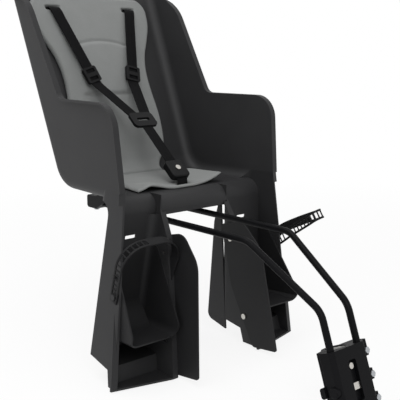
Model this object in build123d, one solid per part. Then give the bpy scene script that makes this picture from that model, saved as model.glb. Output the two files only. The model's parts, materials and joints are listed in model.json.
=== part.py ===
from build123d import *
import math
import os

# Child seat for a bicycle: a one-piece moulded shell with leg channels, a foam pad, a webbing
# harness, height-adjustable footrests and a bent spring-steel fork that plugs into a clamp block
# on the seat tube.
# Modelling frame (mm): X forward, Y to the child's left, Z up, origin on the centre plane, just in
# front of the back line and above the pan (PAN_REAR_X, PAN_Z).  Finished parts are shifted so that
# the origin of the written part is the middle of the seat-tube bore.

# Clearances
SLIP = 0.4
FIT = 0.3

# Shell
WALL = 3.6
RIM = 8.0
RIM_WALL = 4.0
RIM_LOW_Z = -20.0
RIM_FREE_W = 90.6
BACK_TOP_X = -195.0
BACK_TOP_Z = 398.0
PAN_REAR_X = -30.0
PAN_Z = -18.0
BACK_R = 55.0
BUCKET_R = 20.0
SIDE_HALF = 170.6
SIDE_TAPER = 0.054
SIDE_FLARE = 0.04
SPLAY = 0.1
KNEE_X = 186.0
KNEE_R = 28.0
ROLL_TOP_Z = 60.0
APRON_DROP = 38.0
ARM_TOP_Z = 153.0
ARM_FRONT_X = 200.0
ARM_LEAN_X = 15.0
ARM_R = 48.0
NOTCH_X = 15.0
NOTCH_R = 22.0
WING_X = -87.0
WING_Z = 329.0
WING_R = 90.0
TOP_HALF = 150.0
TOP_R = 60.0

# Leg channels
LEG_IN = 80.0
LEG_BACK_TOP_X = 178.0
LEG_BACK_LOW_X = 143.0
LEG_R = 16.0
FLOOR_Z = -312.0
TOE_X = 207.0
TOE_Z = -341.0
LEG_FRONT_X = 232.0
LEG_INNER_FRONT_X = 258.0
RIB_REAR_X = 101.0

LATCH_COUNT = 4
LATCH_TOP_Z = -91.5
LATCH_PITCH = 25.0

# Harness
WEB_W = 25.0
WEB_T = 1.8
SLOT_W = 31.0
SLOT_H = 8.0
SLOT_Y = 95.0
SLOT_Z = 325.0
STRAP_LEAD = 5.0
ANCHOR_T = 6.0
RING_X = 24.0
RING_Z = 104.0
RING_W = 56.0
RING_H = 38.0
RING_T = 6.0
RING_STRAP_Y = 13.5
CROTCH_X = 148.0
ADJUST_X = -72.0
ADJUST_Y = 47.0
ADJUST_Z = 176.0
ADJUST_L = 34.0
ADJUST_T = 7.0
BUCKLE_AT = 0.85
BUCKLE_W = 42.0
BUCKLE_L = 42.0
BUCKLE_T = 13.0

# Pad
PAD_T = 12.0
PAD_SHOULDER = 146.0
PAD_SHOULDER_Z = 290.0
PAD_WAIST = 105.0
PAD_WAIST_Z = 185.0
PAD_HIP = 110.0
PAD_HIP_Z = 100.0
PAD_CURVE = 110.0
PAD_TOP_Z = 352.0
PAD_FRONT_X = 155.0
PAD_PANEL_TOP_Z = 258.0
PAD_PANEL_LOW_Z = 146.0
PAD_GROOVE = 1.6
PAD_THIGH_Y = 84.0
PAD_THIGH_R = 52.0

# Footrests
REST_GAP = 0.6
REST_T = 3.0
REST_TOP_Z = -112.0
REST_LOW_Z = -262.0
REST_HEEL_R = 46.0
REST_EDGE_R = 16.0
REST_TOP_X = 188.0
REST_MID_X = 203.0
REST_MID_Z = -136.0
REST_LIP_H = 20.0
REST_LIP_X = 266.0

# Foot straps
FOOT_W = 20.0
FOOT_T = 2.5
STUD_R = 3.0
STUD_HEAD_R = 5.5
STUD_HEAD_T = 2.0
STUD_AT = 10.0
LADDER_PITCH = 9.0
ARCH_X = 207.0
ARCH_Z = -190.0
ARCH_LEAN = 70.0
ARCH_H = 114.0
ARCH_SPREAD = 15.0
LOOP_X = 190.0
LOOP_Z = -158.0
LOOP_LEAN = 34.0
LOOP_L = 150.0
LOOP_WIDE = 27.0

# Spoke guards
GUARD_T = 3.0
GUARD_FRONT_X = 312.0
GUARD_TOP_Z = -82.0
GUARD_TOP_L = 62.0
GUARD_SHOULDER_L = 108.0
GUARD_SHOULDER_Z = -130.0
GUARD_HOLLOW_Z = -225.0
RIVET_R = 2.5

# Fork
ROD_R = 6.0
ROD_Z = -73.0
ROD_REAR_X = -88.0
ROD_SEAT_Y = 52.0
ROD_BEND_X = 382.0
ROD_Y = 33.0
ROD_RISE = 121.0
ROD_BEND_R = 42.0

# Fork brackets
BOSS_H = 8.0
BOSS_R = 9.0
FRONT_BRACKET_X = 50.0
FRONT_BRACKET_L = 24.0
FRONT_BOLT_Y = 31.0
REAR_BRACKET_X = 24.0
REAR_BOLT_Y = 30.0
ARM_HALF = 11.0
ARM_T = 14.0
CLIP_T = 5.0
BOLT_R = 3.0
HEAD_R = 5.8
HEAD_H = 4.0
NUT_H = 5.0

# Seat-tube clamp
TUBE_R = 15.9
TUBE_LEAN = 20.0
CLAMP_X = 553.5
CLAMP_Z = -283.7
BLOCK_H = 114.0
BLOCK_HALF = 43.0
BLOCK_FRONT = 28.0
BLOCK_REAR = 24.0
BLOCK_CORNER = 6.0
FLANGE_FRONT = 18.0
FLANGE_T = 11.0
FLANGE_OUT = 14.0
LINER_T = 2.0
PARTING = 1.0
ROD_AHEAD = 18.0
ROD_DEPTH = 48.0
BOLT_IN = 7.0
BOLT_PITCH = 39.0
TONGUE_T = 5.0
TONGUE_L = 5.0
TONGUE_H = 70.0
WINDOW_W = 18.0
WINDOW_H = 66.0
WINDOW_D = 7.0
WINDOW_Z = 3.0
LOCK_Z = -6.0
LOCK_T = 4.0
LOCK_H = 11.0
LOCK_END = 22.0
LOCK_TRAVEL = 4.0
BUTTON_X = 17.0
BUTTON_R = 9.0
BUTTON_L = 10.0
BUTTON_OUT = 5.0
SCREW_Z = 26.0

FAR = 460.0
SPAN = 320.0
BACK_SLOPE = (BACK_TOP_X - PAN_REAR_X) / BACK_TOP_Z


def back_x(z):
    return PAN_REAR_X + BACK_SLOPE * z


def side_face(points, radii=0.0):
    # A closed outline with a radius at each corner, always run anticlockwise.
    if isinstance(radii, (int, float)):
        radii = [radii] * len(points)
    area = sum(a[0] * b[1] - b[0] * a[1] for a, b in zip(points, points[1:] + points[:1]))
    if area < 0:
        points, radii = points[::-1], radii[::-1]
    return make_face(FilletPolyline(*points, radius=radii, close=True))


def across(face, half=SPAN, y=0.0):
    return extrude(Plane.XZ.offset(-y) * face, half, both=True)


def grown(face, t):
    return offset(face, t, kind=Kind.INTERSECTION) if abs(t) > 1e-6 else face


LEG_RUN = (LEG_BACK_LOW_X - LEG_BACK_TOP_X) / FLOOR_Z
LEG_TOP_X = ARM_FRONT_X + ARM_LEAN_X


def side_half(x, z):
    # Half width of the shell's inner side: tapered along X, and splayed below the pan.
    low = min(z, 0.0)
    return SIDE_HALF + SIDE_TAPER * (x - LEG_RUN * low) - SPLAY * low


def leg_in(z):
    return LEG_IN - SPLAY * z


def leg_back(z):
    return LEG_BACK_TOP_X + LEG_RUN * z


def both_sides(part):
    return part + mirror(part, about=Plane.XZ)


def envelope(t):
    # The space between the side walls, which lean outward going up.
    base = SIDE_FLARE * FAR
    rear = side_half(-FAR, 0) + t - base
    front = side_half(FAR, 0) + t - base
    half = side_face([(-FAR, -2 * SPAN), (FAR, -2 * SPAN), (FAR, front), (-FAR, rear)])
    half = Pos(0, 0, -FAR) * extrude(half, 2 * FAR, dir=(0, SIDE_FLARE, 1))
    return half & mirror(half, about=Plane.XZ)


def lane(x, t, r, high, outer_r=0.0):
    # One channel's run, child's left: straight up from the pan level, and down along the splayed leg.
    corners = [(x, leg_in(0) - t), (FAR, leg_in(0) - t), (FAR, side_half(FAR, 0) + t), (x, side_half(x, 0) + t)]
    section = side_face(corners, [r, 0, 0, outer_r])
    return extrude(section, high, dir=(0, 0, 1)) + extrude(section, FAR, dir=(-LEG_RUN, SPLAY, -1))


# Side outline of the space that the shell wraps: back line, seat corner and pan.
bucket_face = side_face(
    [(back_x(FAR), FAR), (back_x(PAN_Z), PAN_Z), (FAR, PAN_Z), (FAR, FAR)],
    [0, BACK_R, 0, 0],
)


def bucket(t):
    body = across(grown(bucket_face, t)) & envelope(t)
    rim = FAR - 1.0
    chain = [
        e for e in body.edges()
        if abs(e.center().Y) > 100 and e.center().X < rim - 40 and e.center().Z < rim - 40
        and abs((e @ 1 - e @ 0).normalized().Y) < 0.5
    ]
    return fillet(chain, BUCKET_R + t)


def leg(t):
    # The space in one leg channel: round rear corners, a rolled knee, a floor that drops at the toe.
    floor = side_face(
        [(0, FLOOR_Z + 10), (LEG_BACK_LOW_X, FLOOR_Z + 10), (TOE_X - 3, FLOOR_Z), (TOE_X + 3, TOE_Z),
         (FAR, TOE_Z), (FAR, FAR), (0, FAR)],
    )
    reach = 1.3 * KNEE_R
    knee = side_face(
        [(leg_back(0) - 3 * KNEE_R, PAN_Z), (leg_back(0) - 3 * KNEE_R, ROLL_TOP_Z), (KNEE_X + 40, ROLL_TOP_Z),
         (KNEE_X + 40, PAN_Z - reach), (leg_back(PAN_Z - reach), PAN_Z - reach), (leg_back(PAN_Z), PAN_Z)],
        [0, 0, 0, 0, 0, KNEE_R],
    )
    channel = lane(LEG_BACK_TOP_X - t, t, LEG_R + t, ROLL_TOP_Z + t) & across(grown(floor, t))
    roll_over = lane(LEG_BACK_TOP_X - reach - t, t, 0, ROLL_TOP_Z + t, LEG_R + t)
    return channel + (roll_over & across(grown(knee, t)))


def beyond(t):
    # Everything outboard of one channel's inner wall.
    points = [(leg_in(-FAR) - t, -FAR), (leg_in(FAR) - t, FAR), (SPAN, FAR), (SPAN, -FAR)]
    return extrude(Plane.YZ * side_face(points), FAR, both=True)


def form(t):
    return bucket(t) + both_sides(leg(t))


def keep(inset):
    # Trim outline of the shell: wing, notch, armrest and channel front edges, each set back by inset.
    outline = side_face(
        [(-FAR, -FAR), (-FAR, FAR), (-280, FAR), (WING_X, WING_Z), (NOTCH_X, ARM_TOP_Z),
         (ARM_FRONT_X, ARM_TOP_Z), (LEG_TOP_X, -2), (FAR, -2), (FAR, -FAR)],
        [0, 0, 0, WING_R, NOTCH_R, ARM_R, 0, 0, 0],
    )
    crown = side_face(
        [(-SPAN, -FAR), (-SPAN, BACK_TOP_Z - 218), (-TOP_HALF, BACK_TOP_Z), (TOP_HALF, BACK_TOP_Z),
         (SPAN, BACK_TOP_Z - 218), (SPAN, -FAR)],
        [0, 0, TOP_R, TOP_R, 0, 0],
    )
    body = across(grown(outline, -inset))
    body = body & extrude(Plane.YZ * grown(crown, -inset), FAR, both=True)
    slant = (LEG_INNER_FRONT_X - LEG_FRONT_X) / (side_half(LEG_FRONT_X, TOE_Z) - leg_in(TOE_Z))
    lean = (LEG_FRONT_X - LEG_TOP_X) / TOE_Z
    sections = []
    for z in (0.0, -FAR):
        edge = LEG_TOP_X + lean * z - inset
        reach = side_half(edge, z)
        corners = [(edge + slant * reach, 0), (edge + slant * (reach - SPAN), SPAN), (FAR, SPAN), (FAR, 0)]
        sections.append(Plane.XY.offset(z) * side_face(corners))
    body = body - both_sides(loft(sections, ruled=True))
    inner = side_face([(KNEE_X - inset, PAN_Z), (KNEE_X - inset, PAN_Z - KNEE_R), (KNEE_X + 27 - inset, -95),
                       (LEG_INNER_FRONT_X - inset, TOE_Z), (LEG_INNER_FRONT_X - inset, -FAR), (FAR, -FAR), (FAR, PAN_Z)])
    return body - across(inner, 150)


def knee_face(x, low):
    return side_face(
        [(x - 1.6 * KNEE_R, PAN_Z), (x - 1.6 * KNEE_R, 60), (x + 60, 60), (x + 60, low), (x, low), (x, PAN_Z)],
        [0, 0, 0, 0, 0, KNEE_R],
    )


def band(a, b, wide, w, t):
    a, b = Vector(a), Vector(b)
    plane = Plane(origin=a, x_dir=wide, z_dir=b - a)
    return extrude(plane * Rectangle(w, t), (b - a).length)


def rod(a, b, r):
    a, b = Vector(a), Vector(b)
    return extrude(Plane(origin=a, z_dir=b - a) * Circle(r), (b - a).length)


# Shell: the wall between the wrapped space and its offset, trimmed by the outline, with a rim.
inside = form(0.0)
trim = keep(0.0)
shell = (form(WALL) - inside) & trim
rim = (form(WALL + RIM) - inside) & (trim - keep(RIM_WALL))
rim = rim - Pos(0, 0, TOE_Z - WALL) * extrude(Rectangle(2 * FAR, 2 * FAR), -FAR)
outer_wall = Pos(0, SIDE_HALF, RIM_LOW_Z) * extrude(Rectangle(2 * FAR, RIM_FREE_W), -FAR)
shell = shell + (rim - both_sides(outer_wall))
apron_half = leg_in(0) + 1.0
shell = shell - across(knee_face(KNEE_X, PAN_Z - KNEE_R - 4), apron_half)
roll = KNEE_X - KNEE_R - 12
apron_low = PAN_Z - APRON_DROP
apron = side_face(
    [(roll, PAN_Z), (KNEE_X, PAN_Z), (KNEE_X, apron_low), (KNEE_X - WALL, apron_low), (KNEE_X - WALL, PAN_Z - WALL), (roll, PAN_Z - WALL)],
    [0, KNEE_R, 0, 0, KNEE_R - WALL, 0],
)
shell = shell + across(apron, apron_half)
rib = side_face(
    [(LEG_BACK_TOP_X - 8, PAN_Z - WALL - 16), (LEG_BACK_TOP_X - 33, -98), (RIB_REAR_X, FLOOR_Z - 4), (LEG_BACK_LOW_X + 12, FLOOR_Z - 18)],
    [0, 0, 14, 0],
)
shell = shell + both_sides(across(rib) & (beyond(WALL) - beyond(0)))

back_up = Vector(BACK_SLOPE, 0, 1).normalized()
back_out = Vector(back_up.Z, 0, -back_up.X)


def back_plane(y, z, ahead=0.0):
    origin = Vector(back_x(z), y, z) + back_out * ahead
    return Plane(origin=origin, x_dir=(0, 1, 0), z_dir=back_out)


# Slots for the shoulder straps, the crotch strap and the footrest latches
for y in (-SLOT_Y, SLOT_Y):
    shell = shell - extrude(back_plane(y, SLOT_Z) * RectangleRounded(SLOT_W, SLOT_H, 3), 40, both=True)
shell = shell - Pos(CROTCH_X, 0, PAN_Z) * extrude(RectangleRounded(SLOT_H, SLOT_W, 3), 20, both=True)
for i in range(LATCH_COUNT):
    z = LATCH_TOP_Z - i * LATCH_PITCH
    x = leg_back(z)
    y = (leg_in(z) + side_half(x, z)) / 2
    cut = extrude(Plane(origin=(x, y, z), x_dir=(0, 1, 0), z_dir=(1, 0, 0)) * RectangleRounded(24, 7, 2), 14, both=True)
    shell = shell - both_sides(cut)

# Bosses under the pan that the fork brackets are bolted to
boss_spots = [(FRONT_BRACKET_X, FRONT_BOLT_Y), (FRONT_BRACKET_X, -FRONT_BOLT_Y),
              (REAR_BRACKET_X, REAR_BOLT_Y), (REAR_BRACKET_X, -REAR_BOLT_Y)]
boss_low = PAN_Z - WALL - BOSS_H
for x, y in boss_spots:
    shell = shell + Pos(x, y, boss_low) * extrude(Circle(BOSS_R), BOSS_H + WALL / 2)
    shell = shell - Pos(x, y, boss_low) * extrude(Circle(BOLT_R + FIT), BOSS_H + 1)

# Holes for the rivets of the spoke guards
guard_low = WALL + RIM + FIT
rivet_spots = [(LEG_BACK_TOP_X + 26, -122.0), (LEG_BACK_TOP_X + 50, -280.0)]
for x, z in rivet_spots:
    y = leg_in(z)
    hole = rod((x, y - WALL - 3, z), (x, y + 3, z), RIVET_R + FIT)
    shell = shell - both_sides(hole)

# Foam pad: follows back and pan at a small clearance, waisted outline, thigh cut-outs at the front
pad = bucket(-SLIP) - across(grown(bucket_face, -SLIP - PAD_T))
half_outline = [(PAD_HIP, PAN_Z - 40), (PAD_HIP, PAD_HIP_Z), (PAD_WAIST, PAD_WAIST_Z), (PAD_SHOULDER, PAD_SHOULDER_Z),
                (PAD_SHOULDER, PAD_TOP_Z)]
half_radii = [0, PAD_CURVE, PAD_CURVE, PAD_CURVE, 34]
pad_outline = side_face(half_outline + [(-y, z) for y, z in half_outline[::-1]], half_radii + half_radii[::-1])
pad = pad & extrude(Plane.YZ * pad_outline, FAR, both=True)
plan = side_face([(-300, -SPAN), (PAD_FRONT_X, -SPAN), (PAD_FRONT_X, SPAN), (-300, SPAN)])
pad = pad & extrude(plan, FAR, both=True)
for y in (-PAD_THIGH_Y, PAD_THIGH_Y):
    pad = pad - Pos(PAD_FRONT_X + 34, y, 0) * extrude(Circle(PAD_THIGH_R), 60, both=True)
    pad = pad - extrude(back_plane(y * SLOT_Y / PAD_THIGH_Y, SLOT_Z) * RectangleRounded(SLOT_W, SLOT_H, 3), 40, both=True)
pad = pad - Pos(CROTCH_X, 0, PAN_Z) * extrude(RectangleRounded(SLOT_H, SLOT_W, 3), 40, both=True)
# Embossed edges of the raised middle panel: a bowed line above and a straight one below
low_line = back_plane(0, PAD_PANEL_LOW_Z, SLIP + PAD_T) * Rectangle(1.3 * PAD_WAIST, 2 * PAD_GROOVE)
bow_r = 2 * PAD_WAIST
bow_line = Pos(0, -bow_r) * (Circle(bow_r + PAD_GROOVE) - Circle(bow_r - PAD_GROOVE))
bow_line = bow_line & Rectangle(1.3 * PAD_WAIST, PAD_WAIST)
pad = pad - extrude(low_line, PAD_GROOVE, both=True)
pad = pad - extrude(back_plane(0, PAD_PANEL_TOP_Z, SLIP + PAD_T) * bow_line, PAD_GROOVE, both=True)

# Harness webbing: each shoulder strap leaves its slot square to the back and runs to the yoke ring
yoke = Vector(RING_X, 0, RING_Z)
yoke_up = (Vector(ADJUST_X, 0, ADJUST_Z) - Vector(CROTCH_X, 0, PAN_Z + PAD_T)).normalized()
yoke_out = Vector(yoke_up.Z, 0, -yoke_up.X)
yoke_plane = Plane(origin=yoke, x_dir=(0, 1, 0), z_dir=yoke_out)


def shoulder(side, w, t, slack=0.0):
    start = back_plane(side * SLOT_Y, SLOT_Z)
    rear = start.origin - back_out * (WALL + ANCHOR_T - 2 + slack)
    lead = start.origin + back_out * (SLIP + PAD_T + STRAP_LEAD)
    sag = Vector(ADJUST_X, side * ADJUST_Y, ADJUST_Z)
    end = yoke + yoke_up * (RING_H / 2 - 8 - slack) + Vector(0, side * RING_STRAP_Y, 0)
    strap = band(rear, lead + back_out * (t / 2), (0, 1, 0), w, t)
    for a, b in ((lead, sag), (sag, end)):
        along = (b - a).normalized()
        wide = (Vector(0, 1, 0) - along * along.Y).normalized()
        strap = strap + band(a - along, b, wide, w, t)
    return strap, lead, sag


def crotch(w, t, slack=0.0):
    top = yoke - yoke_up * (RING_H / 2 - 8 - slack)
    knee_at = Vector(CROTCH_X, 0, PAN_Z + PAD_T + SLIP + STRAP_LEAD)
    run = band(top, knee_at + (knee_at - top).normalized(), (0, 1, 0), w, t)
    tail = band(knee_at + Vector(0, 0, t / 2), (CROTCH_X, 0, PAN_Z - WALL - ANCHOR_T + 2 - slack), (0, 1, 0), w, t)
    return run + tail, top, knee_at


parts = {"seat_shell": shell, "seat_pad": pad}
ring = extrude(yoke_plane * RectangleRounded(RING_W, RING_H, 9), RING_T / 2, both=True)
ring = ring - extrude(yoke_plane * RectangleRounded(RING_W - 26, RING_H - 30, 3), RING_T, both=True)
for name, side in (("left", 1), ("right", -1)):
    strap, lead, sag = shoulder(side, WEB_W, WEB_T)
    parts["shoulder_strap_" + name] = strap
    grown_strap = shoulder(side, WEB_W + 2 * FIT, WEB_T + 2 * FIT, FIT)[0]
    ring = ring - grown_strap
    along = (sag - lead).normalized()
    wide = (Vector(0, 1, 0) - along * along.Y).normalized()
    flat = along.cross(wide)
    spot = sag - along * (ADJUST_L / 2 + 2)
    frame = Plane(origin=spot, x_dir=wide, z_dir=flat)
    slide = extrude(frame * RectangleRounded(WEB_W + 8, ADJUST_L, 4), ADJUST_T / 2, both=True)
    for step in (-ADJUST_L / 4, ADJUST_L / 4):
        slide = slide - extrude(frame * Pos(0, step) * Rectangle(WEB_W - 4, ADJUST_L / 4), ADJUST_T, both=True)
    parts["strap_adjuster_" + name] = slide - grown_strap
    anchor = extrude(back_plane(side * SLOT_Y, SLOT_Z, -WALL - ANCHOR_T / 2) * RectangleRounded(SLOT_W + 12, SLOT_H + 10, 4), ANCHOR_T / 2, both=True)
    parts["strap_anchor_" + name] = anchor - grown_strap
lap, lap_top, lap_low = crotch(WEB_W, WEB_T)
lap_grown = crotch(WEB_W + 2 * FIT, WEB_T + 2 * FIT, FIT)[0]
parts["crotch_strap"] = lap
parts["harness_ring"] = ring - lap_grown
lap_dir = (lap_low - lap_top).normalized()
lap_out = Vector(-lap_dir.Z, 0, lap_dir.X)
buckle_plane = Plane(origin=lap_top + (lap_low - lap_top) * BUCKLE_AT, x_dir=(0, 1, 0), z_dir=lap_out)
buckle = extrude(buckle_plane * RectangleRounded(BUCKLE_W, BUCKLE_L, 8), BUCKLE_T / 2, both=True)
buckle = fillet(buckle.edges().group_by(Axis(buckle_plane.origin, lap_out))[-1], 3)
buckle = buckle - lap_grown
rivet_plane = Plane(origin=buckle_plane.origin + lap_out * (BUCKLE_T / 2), x_dir=(0, 1, 0), z_dir=lap_out)
buckle = buckle - extrude(rivet_plane * Circle(3.0 + FIT), 2.4, both=True)
parts["crotch_buckle"] = buckle
parts["buckle_rivet"] = extrude(rivet_plane * Circle(5.5), 2.0) + extrude(rivet_plane * Circle(3.0), -2.0)
under = Pos(CROTCH_X, 0, PAN_Z - WALL - ANCHOR_T / 2) * extrude(RectangleRounded(SLOT_H + 10, SLOT_W + 12, 4), ANCHOR_T / 2, both=True)
parts["crotch_anchor"] = under - lap_grown

# Footrests: scoops that slide in the channels, with a round heel and rounded floor edges
def scoop(t):
    top = PAN_Z
    low = REST_LOW_Z + t
    set_in = REST_GAP + t
    run = lane(LEG_BACK_TOP_X + set_in, -set_in, LEG_R - set_in, 1)
    heel = side_face(
        [(leg_back(top) + set_in, top), (leg_back(low) + set_in, low), (FAR, low), (FAR, top)],
        [0, REST_HEEL_R - t, 0, 0],
    )
    wide = side_half(REST_LIP_X, low)
    trough = side_face(
        [(leg_in(top) + set_in, top), (leg_in(low) + set_in, low), (wide - set_in, low), (wide, top)],
        [0, REST_EDGE_R - t, REST_EDGE_R - t, 0],
    )
    return run & across(heel) & extrude(Plane.YZ * trough, FAR, both=True)


cheek = side_face(
    [(0, REST_LOW_Z - 1), (0, REST_TOP_Z), (REST_TOP_X, REST_TOP_Z), (REST_MID_X, REST_MID_Z),
     (REST_LIP_X, REST_LOW_Z + REST_LIP_H), (REST_LIP_X - 6, REST_LOW_Z - 1)],
    [0, 0, 8, 16, 12, 0],
)
rest = across(cheek) & (scoop(0.0) - scoop(REST_T))
parts["footrest_left"] = rest
parts["footrest_right"] = mirror(rest, about=Plane.XZ)


# Foot straps on moulded studs: the right one bridges its channel, the left one hangs as a loop
def strap_plane(x, z, lean):
    climb = math.radians(lean)
    return Plane(origin=(x, 0, z), x_dir=(0, 1, 0), z_dir=(-math.sin(climb), 0, math.cos(climb)))


def strap_spot(plane, s):
    return plane.origin - plane.y_dir * s


def strap_body(plane, face, w):
    return extrude(plane * mirror(face, about=Plane.XZ), w / 2, both=True)


STAND = 2 * FIT
arch_plane = strap_plane(ARCH_X, ARCH_Z, ARCH_LEAN)
loop_plane = strap_plane(LOOP_X, LOOP_Z, LOOP_LEAN)


def arch_face(t):
    # Outline of the bridging strap's outside, set in by t: two legs along the walls and a round bow
    top = strap_spot(arch_plane, ARCH_H)
    turn = strap_spot(arch_plane, ARCH_H / 2)
    reach = WALL + STAND + FOOT_T - t
    lo = leg_in(ARCH_Z) - reach
    hi = side_half(ARCH_X, ARCH_Z) + reach
    lo_turn = leg_in(turn.Z) - reach
    hi_turn = side_half(turn.X, turn.Z) + reach
    lo_top = 2 * lo_turn - lo
    hi_top = 2 * hi_turn - hi + ARCH_SPREAD
    r = 0.34 * (hi_top - lo_top)
    start = -5.0 if t > 0 else 0.0
    ends = ((lo_top - lo) / ARCH_H * start, (hi_top - hi) / ARCH_H * start)
    return side_face(
        [(lo + ends[0], start), (lo_top, ARCH_H - t), (hi_top, ARCH_H - t), (hi + ends[1], start)], [0, r, r, 0],
    )


def loop_face(t):
    near = side_half(LOOP_X, LOOP_Z) + WALL + STAND + SPLAY * FOOT_W / 2
    return Pos(near + LOOP_WIDE / 2, LOOP_L / 2) * RectangleRounded(
        LOOP_WIDE - 2 * t, LOOP_L - 2 * t, LOOP_WIDE / 2 - t - 0.5)


arch = strap_body(arch_plane, arch_face(0.0) - arch_face(FOOT_T), FOOT_W)
hang = strap_body(loop_plane, loop_face(0.0) - loop_face(FOOT_T), FOOT_W)
notch = strap_body(arch_plane, arch_face(-STAND / 2) - arch_face(FOOT_T + STAND / 2), FOOT_W + 2)
studs = None
for plane, wall_out in ((arch_plane, 1), (arch_plane, -1), (loop_plane, 1)):
    spot = strap_spot(plane, STUD_AT if plane is arch_plane else LOOP_WIDE / 2 + STUD_HEAD_R + 1)
    base = side_half(spot.X, spot.Z) if wall_out > 0 else leg_in(spot.Z)
    base = base + wall_out * WALL / 2
    tip = base + wall_out * (WALL / 2 + 2 * STAND + FOOT_T + SPLAY * FOOT_W / 2)
    ends = [(spot.X, base, spot.Z), (spot.X, tip, spot.Z), (spot.X, tip + wall_out * STUD_HEAD_T, spot.Z)]
    stud = rod(ends[0], ends[2], STUD_R) + rod(ends[1], ends[2], STUD_HEAD_R)
    hole = rod(ends[0], ends[2], STUD_R + FIT)
    studs = stud if studs is None else studs + stud
    if plane is arch_plane:
        arch = arch - hole
    else:
        hang = hang - hole
for i in range(int((ARCH_H / 2 - STUD_AT) / LADDER_PITCH)):
    spot = strap_spot(arch_plane, STUD_AT + (i + 1) * LADDER_PITCH)
    spot.Y = side_half(spot.X, spot.Z) + WALL
    arch = arch - extrude(
        Plane(origin=spot, x_dir=arch_plane.z_dir, z_dir=(0, 1, 0)) * Rectangle(FOOT_W - 8, LADDER_PITCH / 2), 8, both=True)
for i in range(int((LOOP_L - 3 * LOOP_WIDE / 2) / LADDER_PITCH) - 1):
    spot = strap_spot(loop_plane, LOOP_WIDE + (i + 1) * LADDER_PITCH)
    spot.Y = side_half(LOOP_X, LOOP_Z) + WALL
    hang = hang - extrude(
        Plane(origin=spot, x_dir=loop_plane.z_dir, z_dir=(0, 1, 0)) * Rectangle(FOOT_W - 8, LADDER_PITCH / 2), 8, both=True)
parts["seat_shell"] = shell - both_sides(notch) + both_sides(studs)
parts["foot_strap_left"] = hang
parts["foot_strap_right"] = mirror(arch, about=Plane.XZ)

# Spoke guards: flat fins on the wheel side of the inner walls, held off by the rim
guard_face = side_face(
    [(LEG_BACK_TOP_X, GUARD_TOP_Z - 14), (LEG_BACK_TOP_X + GUARD_TOP_L, GUARD_TOP_Z),
     (LEG_BACK_TOP_X + GUARD_SHOULDER_L, GUARD_SHOULDER_Z), (GUARD_FRONT_X, TOE_Z + 8),
     (LEG_INNER_FRONT_X - 12, TOE_Z), (LEG_BACK_TOP_X + 18, GUARD_HOLLOW_Z)],
    [10, 30, 50, 6, 8, 60],
)
guard = across(guard_face) & (beyond(guard_low + GUARD_T) - beyond(guard_low))
rivets = None
for x, z in rivet_spots:
    y = leg_in(z) - guard_low
    guard = guard - rod((x, y - 12, z), (x, y + 12, z), RIVET_R + FIT)
    pin = rod((x, y - GUARD_T - 1, z), (x, leg_in(z) - 1.2, z), RIVET_R)
    pin = pin + rod((x, y - GUARD_T - 3.2, z), (x, y - GUARD_T - 0.8, z), RIVET_R + 3)
    rivets = pin if rivets is None else rivets + pin
parts["spoke_guard_left"] = guard
parts["spoke_guard_right"] = mirror(guard, about=Plane.XZ)
parts["spoke_guard_rivets"] = both_sides(rivets)

# Fork: two bent rods, straight under the seat, stepped down to the clamp block
lean = math.radians(TUBE_LEAN)
clamp_plane = Plane(origin=(CLAMP_X, 0, CLAMP_Z), x_dir=(math.cos(lean), 0, math.sin(lean)), z_dir=(-math.sin(lean), 0, math.cos(lean)))


def at_clamp(x, y, z):
    return clamp_plane.from_local_coords(Vector(x, y, z))


rod_end = BLOCK_H / 2 - ROD_DEPTH
path_points = [Vector(ROD_REAR_X, ROD_SEAT_Y, ROD_Z), Vector(ROD_BEND_X, ROD_SEAT_Y, ROD_Z),
               at_clamp(ROD_AHEAD, ROD_Y, ROD_RISE), at_clamp(ROD_AHEAD, ROD_Y, rod_end)]
path = FilletPolyline(*path_points, radius=[ROD_BEND_R, ROD_BEND_R])
fork = sweep(Plane(origin=path_points[0], z_dir=(1, 0, 0)) * Circle(ROD_R), path=path)
parts["fork_rod_left"] = fork
parts["fork_rod_right"] = mirror(fork, about=Plane.XZ)

# Brackets that hold the rods under the pan
bore = ROD_R + FIT
low = ROD_Z - ROD_R - CLIP_T
arm_out = ROD_SEAT_Y + ARM_HALF
arm_in = ROD_SEAT_Y - ARM_HALF
bar_low = boss_low - ARM_T
bridge = side_face(
    [(-arm_out, boss_low), (arm_out, boss_low), (arm_out, low), (arm_in, low), (arm_in, bar_low),
     (-arm_in, bar_low), (-arm_in, low), (-arm_out, low)],
    [4, 4, 6, 6, 2, 2, 6, 6],
)
front_bracket = extrude(Plane.YZ.offset(FRONT_BRACKET_X) * bridge, FRONT_BRACKET_L / 2, both=True)
clip_top = ROD_Z + ROD_R + 2 * CLIP_T
clip_rear = ROD_REAR_X - CLIP_T
clip_front = ROD_REAR_X + 2 * ARM_T
bar_rear = REAR_BRACKET_X - BOSS_R - 3
bar_front = REAR_BRACKET_X + BOSS_R + 3
saddle = side_face(
    [(bar_front, boss_low), (bar_rear, boss_low), (clip_front, clip_top), (clip_rear, clip_top), (clip_rear, low),
     (clip_front, low), (bar_rear, bar_low), (bar_front, bar_low)],
    [3, 12, 8, 6, 6, 8, 6, 4],
)
rear_bracket = across(saddle, arm_out)
gap = side_face([(-FAR, boss_low + 1), (bar_rear, boss_low + 1), (bar_rear, -FAR), (-FAR, -FAR)])
rear_bracket = rear_bracket - across(gap, arm_in)
bolts = None
for x, y in boss_spots:
    hole = rod((x, y, boss_low + 1), (x, y, bar_low - 1), BOLT_R + FIT)
    if x == FRONT_BRACKET_X:
        front_bracket = front_bracket - hole
    else:
        rear_bracket = rear_bracket - hole
    head = Pos(x, y, bar_low - HEAD_H) * extrude(RegularPolygon(HEAD_R, 6), HEAD_H)
    screw = head + rod((x, y, bar_low - 1), (x, y, boss_low + BOSS_H - 1.5), BOLT_R)
    bolts = screw if bolts is None else bolts + screw
set_screws = None
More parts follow.
